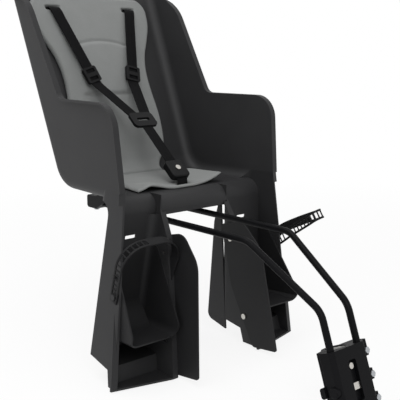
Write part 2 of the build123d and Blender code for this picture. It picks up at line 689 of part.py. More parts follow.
for side in (1, -1):
    y = side * ROD_SEAT_Y
    for name in ("front", "rear"):
        lane_hole = rod((-FAR, y, ROD_Z), (FAR, y, ROD_Z), bore)
        if name == "front":
            front_bracket = front_bracket - lane_hole
        else:
            rear_bracket = rear_bracket - lane_hole
    x = ROD_REAR_X + 15
    rear_bracket = rear_bracket - rod((x, y, ROD_Z - ROD_R + 2), (x, y, low - 2), BOLT_R + FIT)
    pin = rod((x, y, ROD_Z - ROD_R - FIT), (x, y, low - 1), BOLT_R)
    pin = pin + Pos(x, y, low - HEAD_H) * extrude(RegularPolygon(HEAD_R, 6), HEAD_H)
    set_screws = pin if set_screws is None else set_screws + pin
parts["front_fork_bracket"] = front_bracket
parts["rear_fork_bracket"] = rear_bracket
parts["bracket_bolts"] = bolts
parts["rod_set_screws"] = set_screws

# Seat-tube clamp: front body with rod sockets, hinged-over rear half, liners, bolts and the rod lock
half_h = BLOCK_H / 2
gap_half = PARTING / 2
tube_cut = TUBE_R + LINER_T


def upright(face, lo, hi):
    return extrude(Plane(origin=at_clamp(0, 0, lo), x_dir=clamp_plane.x_dir, z_dir=clamp_plane.z_dir) * face, hi - lo)


def along_x(y, z, x0, x1, face):
    plane = Plane(origin=at_clamp(x0, y, z), x_dir=(0, 1, 0), z_dir=clamp_plane.x_dir)
    return extrude(plane * face, x1 - x0)


def along_y(x, z, y0, y1, face):
    plane = Plane(origin=at_clamp(x, y0, z), x_dir=clamp_plane.x_dir, z_dir=(0, 1, 0))
    return extrude(plane * face, y1 - y0)


flange_half = BLOCK_HALF + FLANGE_OUT
bolt_y = flange_half - BOLT_IN
corner_x = BLOCK_FRONT - BLOCK_CORNER
corner_y = BLOCK_HALF - BLOCK_CORNER
front_face = side_face(
    [(gap_half, -BLOCK_HALF), (corner_x, -BLOCK_HALF), (BLOCK_FRONT, -corner_y), (BLOCK_FRONT, corner_y),
     (corner_x, BLOCK_HALF), (FLANGE_FRONT, BLOCK_HALF), (FLANGE_FRONT, flange_half), (gap_half, flange_half)],
    [2, 4, 4, 4, 3, 1.5, 3, 2],
)
body = upright(front_face - Circle(tube_cut), -half_h, half_h)
body = body - along_x(0, WINDOW_Z, BLOCK_FRONT - WINDOW_D, BLOCK_FRONT + 5, RectangleRounded(WINDOW_W, WINDOW_H, 4))
for side in (1, -1):
    body = body - rod(at_clamp(ROD_AHEAD, side * ROD_Y, rod_end - 1), at_clamp(ROD_AHEAD, side * ROD_Y, half_h + 5), ROD_R + FIT)
bolt_heights = [(i - 1) * BOLT_PITCH for i in range(3)]
for z in bolt_heights:
    body = body - along_x(bolt_y, z, -5, FLANGE_FRONT + 5, Circle(BOLT_R + FIT))
for z in (-BOLT_PITCH / 2, BOLT_PITCH / 2):
    body = body - along_x(flange_half, z, FLANGE_FRONT / 3, FLANGE_FRONT + 5, RectangleRounded(1.4 * FLANGE_OUT, BOLT_PITCH - 2 * HEAD_R - 6, 3))
button_in = -BLOCK_HALF + BUTTON_L
lock_x = BLOCK_FRONT - WINDOW_D + LOCK_T / 2 + FIT
body = body - along_y(lock_x, LOCK_Z, button_in - 1, LOCK_END + LOCK_TRAVEL + 2, Rectangle(LOCK_T + 2 * SLIP, LOCK_H + 2 * SLIP))
body = body - along_y(BUTTON_X, LOCK_Z, -BLOCK_HALF - 1, button_in + LOCK_TRAVEL, Circle(BUTTON_R + SLIP))
tongue_y = -BLOCK_HALF + 3 + TONGUE_T / 2
body = body - along_x(tongue_y, 0, -1, gap_half + TONGUE_L + SLIP, Rectangle(TONGUE_T + 2 * SLIP, TONGUE_H + 2 * SLIP))
parts["mount_block"] = body

jaw_side = BLOCK_HALF - 2
flange = side_face(
    [(-FLANGE_T - gap_half, -BLOCK_REAR), (-FLANGE_T / 2 - gap_half, -jaw_side), (-gap_half, -jaw_side),
     (-gap_half, flange_half), (-FLANGE_T - gap_half, flange_half)],
    [0, 2, 0, 0, 4],
)
rear_face = flange + (Circle(BLOCK_REAR) & Pos(-100 - gap_half, 0) * Rectangle(200, 200))
jaw = upright(rear_face - Circle(tube_cut), -half_h, half_h)
for z in bolt_heights:
    jaw = jaw - along_x(bolt_y, z, -BLOCK_REAR, 5, Circle(BOLT_R + FIT))
knuckle = along_y(-FLANGE_T / 2 - gap_half, LOCK_Z, -BLOCK_HALF - 4, -jaw_side + TONGUE_T, RectangleRounded(FLANGE_T - 1, 2 * BUTTON_R, 4.5))
parts["mount_clamp"] = jaw + knuckle + along_x(tongue_y, 0, -FLANGE_T / 4 - gap_half, gap_half + TONGUE_L, Rectangle(TONGUE_T, TONGUE_H))

sleeve = Circle(tube_cut - 0.1) - Circle(TUBE_R)
parts["clamp_liner_front"] = upright(sleeve & Pos(100 + gap_half, 0) * Rectangle(200, 200), -half_h + 2, half_h - 2)
parts["clamp_liner_rear"] = upright(sleeve & Pos(-100 - gap_half, 0) * Rectangle(200, 200), -half_h + 2, half_h - 2)
clamp_bolts = None
clamp_nuts = None
for z in bolt_heights:
    nut_x = -FLANGE_T - gap_half - NUT_H
    shaft = along_x(bolt_y, z, nut_x - 3, FLANGE_FRONT + 1, Circle(BOLT_R))
    shaft = shaft + along_x(bolt_y, z, FLANGE_FRONT, FLANGE_FRONT + HEAD_H, RegularPolygon(HEAD_R, 6))
    nut = along_x(bolt_y, z, nut_x, nut_x + NUT_H, RegularPolygon(HEAD_R, 6) - Circle(BOLT_R + 0.1))
    clamp_bolts = shaft if clamp_bolts is None else clamp_bolts + shaft
    clamp_nuts = nut if clamp_nuts is None else clamp_nuts + nut
parts["clamp_bolts"] = clamp_bolts
parts["clamp_nuts"] = clamp_nuts

button = along_y(BUTTON_X, LOCK_Z, -BLOCK_HALF - BUTTON_OUT, button_in, Circle(BUTTON_R))
button = fillet(button.edges().sort_by(Axis.Y)[0], 2.5)
parts["release_button"] = button
parts["lock_plate"] = along_y(lock_x, LOCK_Z, button_in, LOCK_END, Rectangle(LOCK_T, LOCK_H))
screw_x = BLOCK_FRONT - WINDOW_D
parts["mount_block"] = parts["mount_block"] - along_x(0, SCREW_Z, screw_x - 2, screw_x + 1, Circle(2.4 + FIT))
parts["lock_screw"] = along_x(0, SCREW_Z, screw_x - 1.7, screw_x + 1, Circle(2.4)) + along_x(0, SCREW_Z, screw_x, screw_x + 3.5, Circle(5))

os.makedirs("parts", exist_ok=True)
to_clamp = Pos(-CLAMP_X, 0, -CLAMP_Z)
for name, part in parts.items():
    export_step(to_clamp * part, "parts/" + name + ".step")
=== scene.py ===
import json
import math
import bpy
import bmesh
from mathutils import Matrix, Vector


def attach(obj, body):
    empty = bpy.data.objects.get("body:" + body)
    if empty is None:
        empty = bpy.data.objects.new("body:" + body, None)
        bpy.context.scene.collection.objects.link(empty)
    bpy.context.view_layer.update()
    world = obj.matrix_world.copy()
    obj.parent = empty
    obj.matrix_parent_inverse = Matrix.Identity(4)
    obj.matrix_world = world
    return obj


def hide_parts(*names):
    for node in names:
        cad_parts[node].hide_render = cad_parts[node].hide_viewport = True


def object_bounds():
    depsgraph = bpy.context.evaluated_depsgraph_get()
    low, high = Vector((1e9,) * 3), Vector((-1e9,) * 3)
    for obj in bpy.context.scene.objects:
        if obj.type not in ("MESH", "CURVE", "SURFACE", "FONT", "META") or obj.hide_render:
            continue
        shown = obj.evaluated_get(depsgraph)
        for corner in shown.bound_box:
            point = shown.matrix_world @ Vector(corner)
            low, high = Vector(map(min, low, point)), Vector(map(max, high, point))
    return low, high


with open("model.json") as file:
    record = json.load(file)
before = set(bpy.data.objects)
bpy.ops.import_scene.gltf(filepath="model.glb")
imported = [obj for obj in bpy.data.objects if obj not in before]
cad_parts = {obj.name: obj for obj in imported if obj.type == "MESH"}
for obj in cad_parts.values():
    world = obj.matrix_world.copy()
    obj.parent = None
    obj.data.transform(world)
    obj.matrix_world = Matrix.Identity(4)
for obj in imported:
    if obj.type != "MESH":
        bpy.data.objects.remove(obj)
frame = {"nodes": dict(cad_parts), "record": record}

CAD_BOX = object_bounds()

# Sizes are millimetres in the seat's own frame: X forward, Y to the child's left, Z up, from a point
# on the centre plane 30 mm ahead of the back line and 18 mm above the pan.  SEAT puts that point in
# the shared frame.
MM = 0.001
SEAT = Vector((-553.5, 0.0, 283.7))
UP = Vector((0.0, 0.0, 1.0))
LEFT = Vector((0.0, 1.0, 0.0))

# Back and pan of the shell that the pad lies on.  The back line is at BACK_FOOT_X at Z = 0, and
# BACK_RUN is its change of X for each millimetre up.
PAN_Z = -18.0
BACK_FOOT_X = -30.0
BACK_RUN = -165.0 / 398.0
CORNER_R = 55.0
BACK_UP = Vector((BACK_RUN, 0.0, 1.0)).normalized()
BACK_OUT = Vector((BACK_UP.z, 0.0, -BACK_UP.x))

# Pad: thickness on the back and on the seat flap, lift off the shell, width of the rounded edge, the
# edge's seam as a share of the thickness, and how far the face falls from the middle to the sides
PAD_T = 12.0
FLAP_T = 7.0
FLAP_THINS_X = (40.0, 130.0)
PAD_LIFT = 0.5
PAD_EDGE = 7.0
PAD_SEAM = 0.3
PAD_CROWN = 1.2
PAD_TOP_Z = 351.0
PAD_TOP_R = 34.0
PAD_ROWS = 270
PAD_COLUMNS = 120
PAD_EVEN_ROWS = 0.45
# Half width of the back by height, half width of the seat flap by X, and the flap's front edge and
# lift by Y.  The flap rides up on the left and waves on the right, as foam does once it is sat on:
# LEFT_RISE_RUN is the length of the rise, and the wave dies away over RIGHT_WAVE_RUN from the front.
PAD_HALF = [
    (-18, 70), (-8, 72), (6, 82), (22, 96), (40, 104), (60, 108.5), (90, 111), (120, 110), (150, 107),
    (178, 105.5), (205, 108), (232, 116), (258, 129), (288, 142), (310, 146), (351, 146)]
FLAP_HALF = [(0, 70), (14, 73), (35, 82), (60, 91), (90, 98), (120, 103), (150, 106)]
FLAP_FRONT = [
    (-106, 148), (-84, 147), (-60, 147.5), (-38, 150), (-28, 155.5), (-18, 157), (0, 157.5), (18, 157),
    (28, 156), (38, 153.5), (60, 151), (84, 148), (106, 144)]
FLAP_LIFT = [
    (-106, 0), (-92, 3), (-74, 8), (-52, 4), (-34, 0), (0, 0), (36, 0), (60, 2.5), (84, 8), (106, 15)]
LEFT_RISE_RUN = 55.0
RIGHT_WAVE_RUN = (4.0, 60.0)

# Raised middle panel of the back, with a line pressed along its upper and its lower edge, and the
# crease at the seat corner, placed by its share of the corner's arc.  The panel's upper edge is bowed:
# it falls by y * y / PANEL_BOW.
PANEL_TOP_Z = 258.0
PANEL_LOW_Z = 146.0
PANEL_BOW = 420.0
PANEL_RISE = 2.6
PANEL_EDGE = 9.0
PANEL_SIDE_Y = (62.0, 78.0)
LINE_END_Y = (58.0, 80.0)
LINE_W = 2.6
TOP_LINE_DEPTH = 2.2
LOW_LINE_DEPTH = 1.8
CREASE_AT = 0.8
CREASE_W = 3.2
CREASE_DEPTH = 7.5

# Strap slots of the pad: places, half length and half width from the floor to the face, the share of
# the dip past which the foam is open, and the lip round the opening
SLOT_Y = 95.0
SLOT_Z = 325.0
SLOT_X = 148.0
SLOT_HALF_L = (13.5, 17.0)
SLOT_HALF_W = (2.6, 5.6)
SLOT_OPEN = 0.6
SLOT_LIP = 1.5

# Harness: webbing, the left shoulder strap's bend at its adjuster, and the yoke with the place of the
# straps' ends in it
WEB_W = 25.0
WEB_T = 1.6
WEB_EDGE = 0.5
BEND = Vector((-72.0, 47.0, 176.0))
YOKE = Vector((24.0, 0.0, 104.0))
YOKE_UP = (Vector((BEND.x, 0.0, BEND.z)) - Vector((SLOT_X, 0.0, PAN_Z + PAD_T))).normalized()
YOKE_IN = 11.0
YOKE_STRAP_Y = 13.5
# Shoulder strap at its slot: tail behind the back line, mouth, turn (off the back and down the strap)
# and height off the back line where it leaves.  Then stations that keep its two runs straight.
SLOT_TAIL = 6.5
SLOT_MOUTH = 6.0
SLOT_TURN = (13.6, 1.4)
SLOT_STAND = 17.4
AFTER_SLOT = (8.0, 30.0)
BEFORE_BEND = (44.0, 24.0, 6.0)
AFTER_BEND = (6.0, 26.0)
BEFORE_YOKE = 20.0
# Crotch strap: stations from the yoke to its knee over the flap, and down through the pan
AFTER_YOKE = 20.0
KNEE_STAND = 5.4
BEFORE_KNEE = (60.0, 30.0, 5.0)
BELOW_KNEE = (5.0, 14.0)
CROTCH_TAIL = 7.0
ROUTE_GAP = 3.0

# Stitches, and the boxes sewn near the yoke: half width, and each box's start, measured from the
# strap's yoke end, and length
STITCH_PITCH = 3.4
STITCH_LIFT = 0.05
STITCH_SIZE = {"Length": 2.9, "Width": 0.9, "Height": 0.8}
BOX_HALF = 8.5
SHOULDER_BOX_FROM_END = 36.0
SHOULDER_BOX_L = 18.0
CROTCH_BOX_FROM_END = 18.0
CROTCH_BOX_L = 20.0

# Foot straps: band, softened edge, cuts along the band, rails and rungs of the ladder
FOOT_W = 20.0
FOOT_T = 2.5
FOOT_SOFT = 0.5
FOOT_CUTS = 110
RAIL_W = 4.2
RUNG_PITCH = 10.0
RUNG_SIZE = {"Length": FOOT_W - RAIL_W, "Width": 3.0, "Height": FOOT_T}
# A foot strap is bent in a plane that leans up from level by so many degrees.  Its outline gives the
# distance from the centre plane and the distance up the leaning plane from its foot.  Ladders and
# holes are runs along the strap.
ARCH_FOOT = Vector((207.0, 0.0, -190.0))
ARCH_LEAN = 70.0
ARCH_OUTLINE = [(207.35, 0.0), (213.2, 112.75), (82.8, 112.75), (93.55, 0.0)]
ARCH_R = 43.9
ARCH_GAP = 4.0
ARCH_LADDER = (5.0, 145.0)
ARCH_HOLE_FROM_END = (15.0, 5.0)
LOOP_FOOT = Vector((190.0, 0.0, -158.0))
LOOP_LEAN = 34.0
LOOP_START = 60.0
LOOP_LOW = 1.25
LOOP_TOP = 148.75
LOOP_INNER_Y = 204.05
LOOP_OUTER_Y = 228.55
LOOP_R = 11.9
LOOP_GAP = 2.0
LOOP_LADDER = (0.0, 140.0)
LOOP_LADDER_AT_END = 45.0
# Offset of a strap off its plane, by run along it.  The loose strap's outer band hangs above its
# ladder band.
NO_DRIFT = [(0, 0), (1, 0)]
LOOP_DRIFT = [(0, 0), (85, 0), (115, 4), (175, 15), (232, 21), (255, 13), (276, 0), (330, 0)]

# Pattern sizes of the finishes, and how far a pattern changes the roughness
PIGMENT_CLOUD = 70.0
GRAIN_GLOSS = (-0.06, 0.08)
PLATING_PATCH = 9.0
PATCH_GLOSS = (-0.07, 0.07)
PIT_DEPTH = 0.15
FOAM_CLOUD = 45.0
FOAM_CELL = 1.5
CELL_EDGE = 0.7
# CELL_SHADE: painted shade, the colour factor at the middle and at the rim of a foam cell's pit
CELL_SHADE = (0.9, 1.0)
CELL_DEPTH = 0.3
YARN_PITCH = 2.4
CHEVRON_W = 4.2
YARN_DEPTH = 0.3
YARN_FUZZ = 6.0
# A colour Mix node's sockets, whose names the node uses more than once
MIX_SHARE, MIX_A, MIX_B, MIX_RESULT = 0, 6, 7, 2

# Stage, in metres of the shared frame: the floor looks nearly white by the seat, so that it keeps the
# seat's shadow, and fades to plain white with distance
FLOOR_HALF = 6.0
FLOOR_GAP = 0.002
FLOOR_MOTTLES_PER_M = 3.0
FLOOR_WHITE = 0.86
FLOOR_FADE = (0.9, 2.4)
WORLD_LIGHT = 0.55
WHITE = (1.0, 1.0, 1.0, 1.0)
# Lamps: place, aim, width and watts
LAMPS = {
    "key": ((1.6, -1.3, 2.0), (-0.45, 0.0, 0.3), 1.6, 26.0),
    "fill": ((-0.4, -2.2, 0.9), (-0.5, 0.0, 0.3), 1.4, 3.0),
    "top": ((-0.6, -0.5, 2.3), (-0.5, 0.0, 0.3), 1.6, 20.0),
}
# Camera: place, turn in degrees, and lens and sensor in millimetres
EYE = Vector((0.7322, -0.9433, 0.5231))
EYE_TURN = (79.17, 0.0, 49.01)
LENS = 69.75
SENSOR_W = 36.0


def seat(p):
    return (SEAT + p) * MM


def bend_between(a, b, pull_a, pull_b, t):
    # Smooth way from a to b, leaving along pull_a and arriving along pull_b.
    return (a * (2 * t ** 3 - 3 * t * t + 1) + pull_a * (t ** 3 - 2 * t * t + t)
            + b * (3 * t * t - 2 * t ** 3) + pull_b * (t ** 3 - t * t))


def along(table, x):
    # Smooth reading of a table of (place, value) rows in rising order.
    if x <= table[0][0]:
        return table[0][1]
    for k in range(len(table) - 1):
        (a, va), (b, vb) = table[k], table[k + 1]
        if x <= b:
            before, after = table[max(k - 1, 0)], table[min(k + 2, len(table) - 1)]
            slope_a = (vb - before[1]) / (b - before[0]) * (b - a)
            slope_b = (after[1] - va) / (after[0] - a) * (b - a)
            return bend_between(va, vb, slope_a, slope_b, (x - a) / (b - a))
    return table[-1][1]


def step(x, a, b):
    # 0 up to a, 1 from b on, and smooth between them.
    t = min(max((x - a) / (b - a), 0.0), 1.0)
    return t * t * (3 - 2 * t)


def linear(code):
    # sRGB hex colour as linear red, green, blue and alpha.
    channels = [int(code[i:i + 2], 16) / 255 for i in (1, 3, 5)]
    return [c / 12.92 if c <= 0.04045 else ((c + 0.055) / 1.055) ** 2.4 for c in channels] + [1.0]


def add(tree, kind, sockets=None, **settings):
    # One node with its settings, and each socket linked or set.
    made = tree.nodes.new(kind)
    for name, value in settings.items():
        setattr(made, name, value)
    for name, value in (sockets or {}).items():
        if isinstance(value, bpy.types.NodeSocket):
            tree.links.new(value, made.inputs[name])
        else:
            made.inputs[name].default_value = value
    return made


def finish_named(name):
    material = bpy.data.materials.new(name)
    material.use_nodes = True
    material.node_tree.nodes.clear()
    return material, material.node_tree


def per_mm(size):
    # Texture scale on Object coordinates, in metres, that repeats about once in size millimetres.
    return 1.0 / (size * MM)


def moulded_plastic(name, base, lit, grain, rough, deep, shine):
    # Plastic or rubber moulded in a spark-textured tool: satin, with a fine even grain that breaks up
    # the highlight, and a faint cloudiness from the pigment.  The grain is drawn at about 1 mm,
    # coarser than a tool leaves it, so that it shows.
    material, tree = finish_named(name)
    where = add(tree, "ShaderNodeTexCoord").outputs["Object"]
    cloud = add(tree, "ShaderNodeTexNoise", {
        "Vector": where, "Scale": per_mm(PIGMENT_CLOUD), "Detail": 3.0})
    tint = add(tree, "ShaderNodeMix", {
        MIX_SHARE: cloud.outputs["Fac"], MIX_A: linear(base), MIX_B: linear(lit)}, data_type="RGBA")
    texture = add(tree, "ShaderNodeTexNoise", {"Vector": where, "Scale": per_mm(grain), "Detail": 2.0})
    gloss = add(tree, "ShaderNodeMapRange", {
        "Value": texture.outputs["Fac"], "To Min": rough + GRAIN_GLOSS[0], "To Max": rough + GRAIN_GLOSS[1]})
    bump = add(tree, "ShaderNodeBump", {
        "Height": texture.outputs["Fac"], "Strength": 0.35, "Distance": deep * MM})
    skin = add(tree, "ShaderNodeBsdfPrincipled", {
        "Base Color": tint.outputs[MIX_RESULT], "Roughness": gloss.outputs[0], "Normal": bump.outputs[0],
        "Specular IOR Level": shine})
    add(tree, "ShaderNodeOutputMaterial", {"Surface": skin.outputs[0]})
    return material


def plated_steel(name, base, lit, grain, rough, metal, shine):
    # Rolled steel, bright-plated or powder-coated: an even skin with slight pits and patches, drawn
    # coarser than real so that they show.
    material, tree = finish_named(name)
    where = add(tree, "ShaderNodeTexCoord").outputs["Object"]
    patch = add(tree, "ShaderNodeTexNoise", {
        "Vector": where, "Scale": per_mm(PLATING_PATCH), "Detail": 4.0})
    tint = add(tree, "ShaderNodeMix", {
        MIX_SHARE: patch.outputs["Fac"], MIX_A: linear(base), MIX_B: linear(lit)}, data_type="RGBA")
    pits = add(tree, "ShaderNodeTexNoise", {"Vector": where, "Scale": per_mm(grain), "Detail": 2.0})
    gloss = add(tree, "ShaderNodeMapRange", {
        "Value": patch.outputs["Fac"], "To Min": rough + PATCH_GLOSS[0], "To Max": rough + PATCH_GLOSS[1]})
    bump = add(tree, "ShaderNodeBump", {
        "Height": pits.outputs["Fac"], "Strength": 0.2, "Distance": PIT_DEPTH * MM})
    skin = add(tree, "ShaderNodeBsdfPrincipled", {
        "Base Color": tint.outputs[MIX_RESULT], "Roughness": gloss.outputs[0], "Normal": bump.outputs[0],
        "Metallic": metal, "Specular IOR Level": shine})
    add(tree, "ShaderNodeOutputMaterial", {"Surface": skin.outputs[0]})
    return material


def closed_cell_foam(name, base, lit):
    # Heat-pressed EVA foam: a dull, chalky skin with a slight bloom, clouded in tone and broken by
    # closed cells, which are drawn at 1.5 mm so that they show.  Each cell's pit is painted darker towards
    # its middle: painted shade.
    material, tree = finish_named(name)
    where = add(tree, "ShaderNodeTexCoord").outputs["Object"]
    cloud = add(tree, "ShaderNodeTexNoise", {"Vector": where, "Scale": per_mm(FOAM_CLOUD), "Detail": 4.0})
    cells = add(tree, "ShaderNodeTexVoronoi", {"Vector": where, "Scale": per_mm(FOAM_CELL)})
    tint = add(tree, "ShaderNodeMix", {
        MIX_SHARE: cloud.outputs["Fac"], MIX_A: linear(base), MIX_B: linear(lit)}, data_type="RGBA")
    # painted shade: each cell darker towards its middle, where the bump sets its pit deepest
    pit_painted_shade = add(tree, "ShaderNodeMapRange", {
        "Value": cells.outputs["Distance"], "From Min": 0.0, "From Max": CELL_EDGE,
        "To Min": CELL_SHADE[0], "To Max": CELL_SHADE[1]})
    tint_with_painted_pit_shade = add(tree, "ShaderNodeMix", {
        MIX_SHARE: 1.0, MIX_A: tint.outputs[MIX_RESULT], MIX_B: pit_painted_shade.outputs[0]},
        data_type="RGBA", blend_type="MULTIPLY")
    bump = add(tree, "ShaderNodeBump", {
        "Height": cells.outputs["Distance"], "Strength": 0.4, "Distance": CELL_DEPTH * MM})
    skin = add(tree, "ShaderNodeBsdfPrincipled", {
        "Base Color": tint_with_painted_pit_shade.outputs[MIX_RESULT], "Roughness": 0.82, "Normal": bump.outputs[0], "IOR": 1.45,
        "Sheen Weight": 0.12, "Sheen Roughness": 0.5})
    add(tree, "ShaderNodeOutputMaterial", {"Surface": skin.outputs[0]})
    return material


def woven_polyester(name, base, lit):
    # Black polyester webbing: a chevron twill of shiny yarns.  The yarn pitch is drawn at 2.4 mm,
    # about twice the real one, so that it shows.  UV holds millimetres across and along the strap.
    # The yarn crests take the lighter colour and the grooves the darker one: painted highlight and shade.
    material, tree = finish_named(name)
    where = add(tree, "ShaderNodeTexCoord").outputs
    spot = add(tree, "ShaderNodeSeparateXYZ", {0: where["UV"]})
    zig = add(tree, "ShaderNodeMath", {0: spot.outputs[0], 1: CHEVRON_W}, operation="PINGPONG")
    rise = add(tree, "ShaderNodeMath", {0: spot.outputs[1], 1: zig.outputs[0]}, operation="ADD")
    turn = add(tree, "ShaderNodeMath", {
        0: rise.outputs[0], 1: 2 * math.pi / YARN_PITCH}, operation="MULTIPLY")
    wave = add(tree, "ShaderNodeMath", {0: turn.outputs[0]}, operation="SINE")
    yarn = add(tree, "ShaderNodeMapRange", {"Value": wave.outputs[0], "From Min": -1.0, "From Max": 1.0})
    fuzz = add(tree, "ShaderNodeTexNoise", {
        "Vector": where["Object"], "Scale": per_mm(YARN_FUZZ), "Detail": 3.0})
    # painted highlight on the yarn crests and painted shade in the grooves, broken up by the fuzz
    painted_crest_light = add(tree, "ShaderNodeMath", {0: yarn.outputs[0], 1: fuzz.outputs["Fac"]}, operation="MULTIPLY")
    tint = add(tree, "ShaderNodeMix", {
        MIX_SHARE: painted_crest_light.outputs[0], MIX_A: linear(base), MIX_B: linear(lit)}, data_type="RGBA")
    bump = add(tree, "ShaderNodeBump", {
        "Height": yarn.outputs[0], "Strength": 0.6, "Distance": YARN_DEPTH * MM})
    skin = add(tree, "ShaderNodeBsdfPrincipled", {
        "Base Color": tint.outputs[MIX_RESULT], "Roughness": 0.7, "Normal": bump.outputs[0],
        "Specular IOR Level": 0.06})
    add(tree, "ShaderNodeOutputMaterial", {"Surface": skin.outputs[0]})
    return material


FINISHES = {
    "moulded_shell": moulded_plastic(
        "charcoal_polypropylene", "#272728", "#2f2f30", grain=1.1, rough=0.5, deep=0.25, shine=0.2),
    "foam_pad": closed_cell_foam("grey_eva_foam", "#797b7a", "#848685"),
    # the webbing's second colour is the painted highlight on its yarn crests
    "webbing": woven_polyester("black_polyester_webbing", "#0b0b0c", "#19191a"),
    "harness_plastic": moulded_plastic(
        "black_acetal", "#101011", "#151516", grain=0.8, rough=0.42, deep=0.1, shine=0.12),
    "rivet_metal": plated_steel(
        "nickel_plated_rivet", "#b9b6b0", "#cfccc6", grain=0.9, rough=0.3, metal=1.0, shine=0.5),
    "footrest_plastic": moulded_plastic(
        "slate_polypropylene", "#1d1d1e", "#242425", grain=1.0, rough=0.5, deep=0.2, shine=0.15),
    "strap_rubber": moulded_plastic(
        "grey_thermoplastic_rubber", "#171718", "#1f1f20", grain=1.2, rough=0.55, deep=0.15, shine=0.12),
    "rod_steel": plated_steel(
        "black_powder_coat", "#070709", "#0c0c0e", grain=0.8, rough=0.45, metal=0.0, shine=0.08),
    "bracket_plastic": moulded_plastic(
        "black_glass_filled_nylon_bracket", "#0f0f11", "#151517", grain=0.9, rough=0.5, deep=0.2, shine=0.12),
    "zinc_bolts": plated_steel(
        "bright_zinc", "#9fa2a6", "#b5b8bb", grain=0.9, rough=0.33, metal=1.0, shine=0.5),
    "block_plastic": moulded_plastic(
        "black_glass_filled_nylon", "#0b0b0d", "#101012", grain=0.9, rough=0.5, deep=0.2, shine=0.08),
    "liner_rubber": moulded_plastic(
        "pale_grey_rubber", "#a2a29f", "#adada9", grain=1.0, rough=0.7, deep=0.2, shine=0.2),
}
# Sewing thread of bonded polyester, whose coat has the same satin skin as the mouldings
THREAD = moulded_plastic(
    "polyester_thread", "#242426", "#2e2e30", grain=0.8, rough=0.6, deep=0.1, shine=0.2)

for row in frame["record"]["subparts"]:
    mesh = frame["nodes"][row["node"]].data
    mesh.materials.clear()
    mesh.materials.append(FINISHES[row["material_slot"]])


def seat_piece(name, mesh, slot, *nodes):
    # A piece that rides on the seat, with its slot's finish unless it has one of its own.
    piece = bpy.data.objects.new(name, mesh)
    bpy.context.scene.collection.objects.link(piece)
    if not mesh.materials:
        mesh.materials.append(FINISHES[slot])
    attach(piece, "seat")
    if nodes:
        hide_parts(*nodes)
    return piece


def outward(mesh, sharp=None):
    # Merges doubles, points faces outwards and shades smooth, with edges sharp past so many degrees.
    work = bmesh.new()
    work.from_mesh(mesh)
    bmesh.ops.remove_doubles(work, verts=work.verts, dist=1e-6)
    bmesh.ops.recalc_face_normals(work, faces=work.faces)
    work.to_mesh(mesh)
    work.free()
    mesh.shade_smooth()
    if sharp is not None:
        mesh.set_sharp_from_angle(angle=math.radians(sharp))


# Pad path: down the back, round the seat corner and forward on the pan
CORNER = Vector((BACK_FOOT_X + BACK_RUN * PAN_Z, 0.0, PAN_Z))
CORNER_TURN = math.atan2(BACK_UP.z, -BACK_UP.x)
CORNER_CUT = CORNER_R * math.tan(CORNER_TURN / 2)
BACK_END = CORNER + BACK_UP * CORNER_CUT
ARC_MIDDLE = CORNER + Vector((CORNER_CUT, 0.0, CORNER_R))
BACK_LENGTH = (PAD_TOP_Z - BACK_END.z) / BACK_UP.z
ARC_LENGTH = CORNER_R * CORNER_TURN
FLAP_START = BACK_LENGTH + ARC_LENGTH


def pad_path(s):
    # Point on the shell and direction off it, s millimetres from the top of the pad.
    if s < BACK_LENGTH:
        return BACK_END + BACK_UP * (BACK_LENGTH - s), BACK_OUT
    if s < FLAP_START:
        a = math.pi + (math.pi / 2 - CORNER_TURN) + (s - BACK_LENGTH) / CORNER_R
        ray = Vector((math.cos(a), 0.0, math.sin(a)))
        return ARC_MIDDLE + ray * CORNER_R, -ray
    return Vector((ARC_MIDDLE.x + s - FLAP_START, 0.0, PAN_Z)), UP


def pad_half(s):
    # Half width of the pad, with the top corners rounded.
    p, out = pad_path(s)
    if p.x > ARC_MIDDLE.x:
        return along(FLAP_HALF, p.x)
    half = along(PAD_HALF, p.z)
    if s < PAD_TOP_R:
        half -= PAD_TOP_R - math.sqrt(PAD_TOP_R ** 2 - (PAD_TOP_R - s) ** 2)
    return half


def pad_end(y):
    # Length from the top of the pad to the flap's front edge.
    return FLAP_START + along(FLAP_FRONT, y) - ARC_MIDDLE.x


def flap_curl(s, y):
    # The left side of the flap rises from the seat corner on.  The right side waves at its front edge.
    if y > 0:
        share = step(s, FLAP_START, FLAP_START + LEFT_RISE_RUN)
    else:
        share = 1 - step(pad_end(y) - s, *RIGHT_WAVE_RUN)
    return along(FLAP_LIFT, y) * share


def slot_dip(u, v):
    # How far a strap slot opens the pad, from 0 to 1, at u across and v along from its middle.
    return (1 - step(abs(u), *SLOT_HALF_L)) * (1 - step(abs(v), *SLOT_HALF_W))


def pad_relief(s, y):
    # Height over the plain pad: crown, seat crease, and on the back the panel and its pressed lines.
    p, out = pad_path(s)
    relief = -PAD_CROWN * (y / pad_half(s)) ** 2
    relief -= CREASE_DEPTH * math.exp(-((s - BACK_LENGTH - CREASE_AT * ARC_LENGTH) / CREASE_W) ** 2)
    if s >= BACK_LENGTH:
        return relief
    top = PANEL_TOP_Z - y * y / PANEL_BOW
    level = step(p.z, PANEL_LOW_Z, PANEL_LOW_Z + PANEL_EDGE) * (1 - step(p.z, top - PANEL_EDGE, top))
    relief += PANEL_RISE * level * (1 - step(abs(y), *PANEL_SIDE_Y))
    for line, depth in ((top, TOP_LINE_DEPTH), (PANEL_LOW_Z, LOW_LINE_DEPTH)):
        relief -= depth * (1 - step(abs(y), *LINE_END_Y)) * math.exp(-((p.z - line) / LINE_W) ** 2)
    return relief


